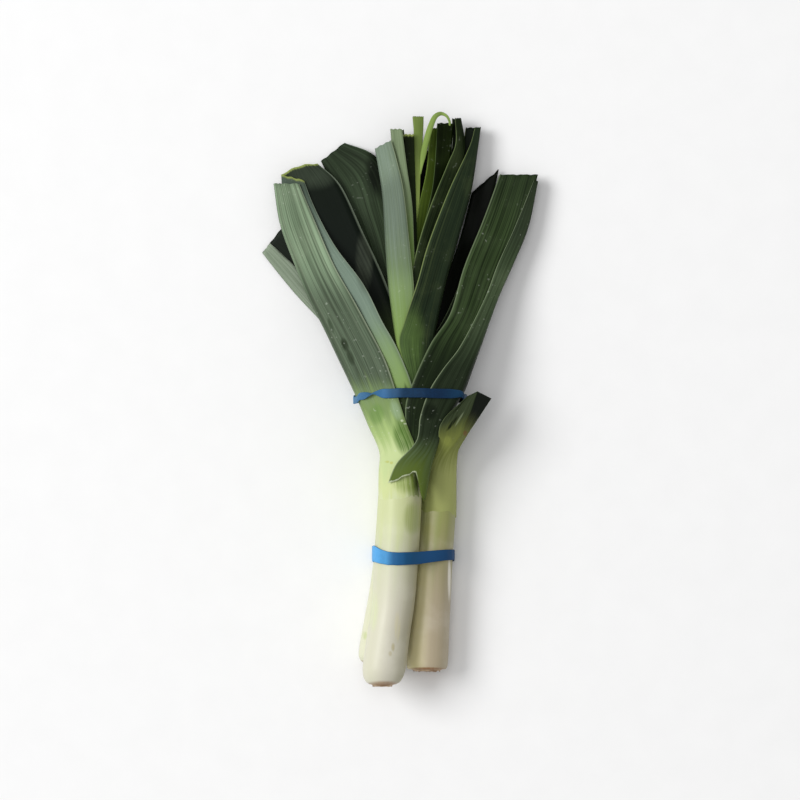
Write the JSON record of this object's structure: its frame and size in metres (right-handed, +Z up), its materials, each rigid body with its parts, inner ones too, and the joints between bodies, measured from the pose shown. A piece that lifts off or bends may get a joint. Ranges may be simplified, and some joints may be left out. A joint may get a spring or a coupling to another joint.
{
  "type": "leek",
  "caption": "Bunch of trimmed leeks lying flat: pale rolled shafts with cut root plates and a fan of folded strap leaves, held together by flat rubber bands",
  "frame": {"origin": "under the middle of the bunch's bounding box, on the surface that it lies on", "axes": "+X across the bunch to the right as seen from above, +Y from the roots to the leaf tips, +Z up from the surface"},
  "size_m": [0.2164, 0.4486, 0.0664],
  "materials": {
    "pale_shaft": "smooth, moist, faintly ribbed leaf sheath",
    "olive_shaft": "smooth leaf sheath with fine lengthwise lines",
    "root_plate": "dull cut root disc",
    "pale_leaf": "waxy bloom over fine parallel veins",
    "deep_leaf": "waxy dark leaf with a thin pale margin",
    "mid_leaf": "soft satin leaf with parallel veins",
    "young_leaf": "soft satin young leaf",
    "cut_leaf": "satin leaf with a cut end",
    "blue_rubber": "matt stretched rubber"
  },
  "bodies": {
    "root": {"root_plate_a": "root_plate", "shaft_a": "pale_shaft", "root_plate_b": "root_plate", "shaft_b": "olive_shaft", "root_plate_c": "root_plate", "shaft_c": "pale_shaft", "leaf_c_left_outer": "deep_leaf", "leaf_c_right_outer": "deep_leaf", "leaf_c_left_second": "deep_leaf", "leaf_c_left_third": "deep_leaf", "leaf_c_left_fourth": "deep_leaf", "leaf_b_right_outer": "deep_leaf", "leaf_b_left_outer": "deep_leaf", "leaf_a_right_outer": "deep_leaf", "leaf_a_left_outer": "pale_leaf", "leaf_a_right_second": "deep_leaf", "leaf_a_left_second": "pale_leaf", "leaf_a_right_third": "deep_leaf", "leaf_a_left_third": "mid_leaf", "leaf_a_right_fourth": "deep_leaf", "leaf_a_left_fourth": "mid_leaf", "leaf_a_right_fifth": "mid_leaf", "leaf_a_left_fifth": "mid_leaf", "leaf_a_right_sixth": "young_leaf", "leaf_a_heart": "young_leaf", "leaf_b_short": "cut_leaf", "band_lower": "blue_rubber", "band_upper": "blue_rubber"}
  },
  "joints": []
}
